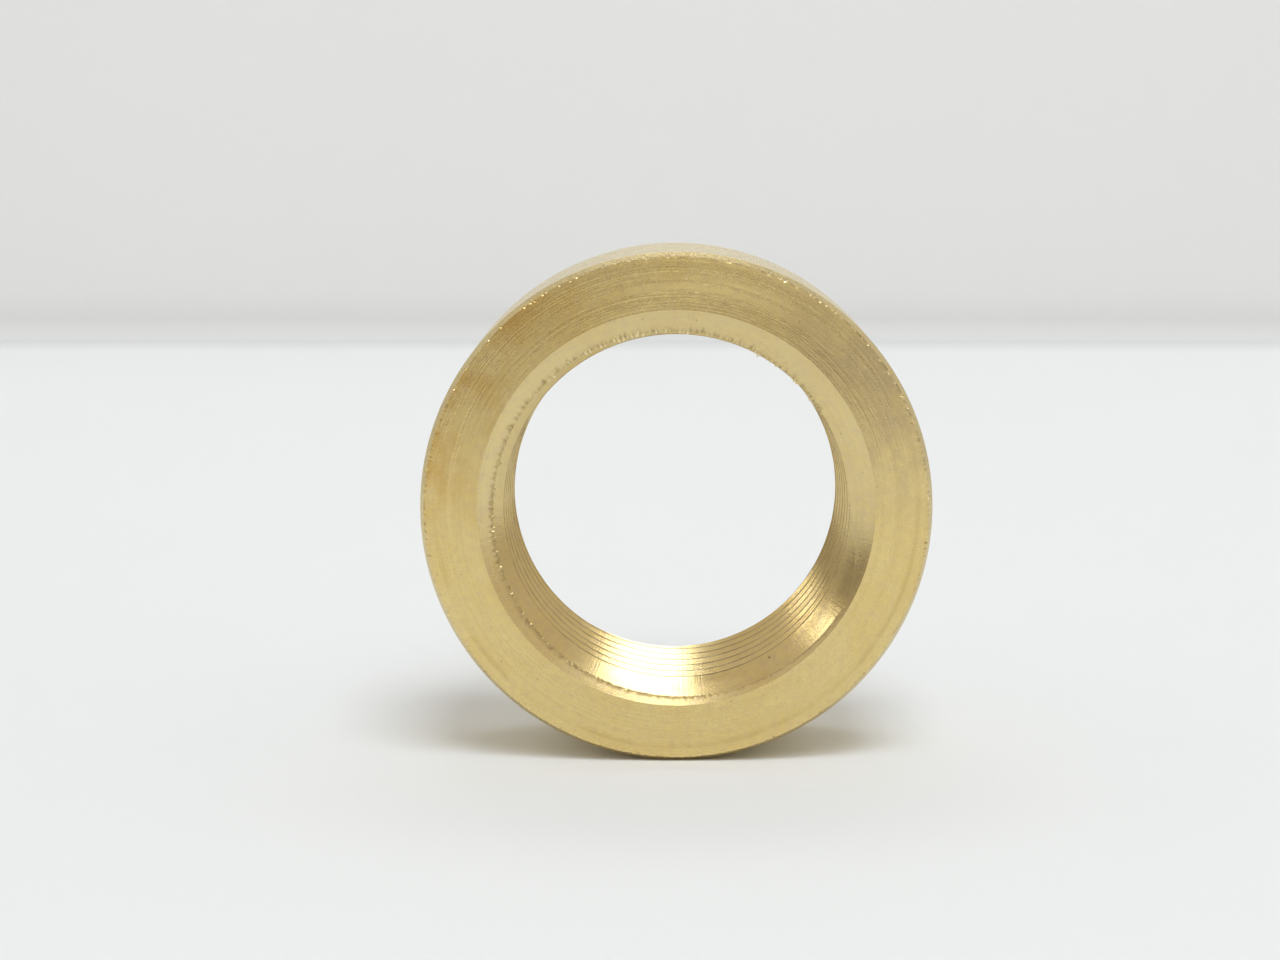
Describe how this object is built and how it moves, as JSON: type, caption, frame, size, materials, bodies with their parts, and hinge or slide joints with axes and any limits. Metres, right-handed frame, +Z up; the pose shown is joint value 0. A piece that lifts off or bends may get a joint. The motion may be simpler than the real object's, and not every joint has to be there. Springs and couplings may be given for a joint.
{
  "type": "pipe coupling",
  "caption": "Short round brass coupling ring with a tapered internal pipe thread right through it and countersunk ends.",
  "frame": {"origin": "centre of the ring, on the bore's axis and halfway between the end faces", "axes": "+Y along the bore's axis, from the front face towards the back face; +Z up as the ring lies on its side; the thread is widest at the front face, on the -Y side"},
  "size_m": [0.035, 0.014, 0.035],
  "materials": {
    "brass": "turned, satin, with fine tool lines on the faces and in the bore"
  },
  "bodies": {
    "root": {"coupling_body": "brass"}
  },
  "joints": []
}
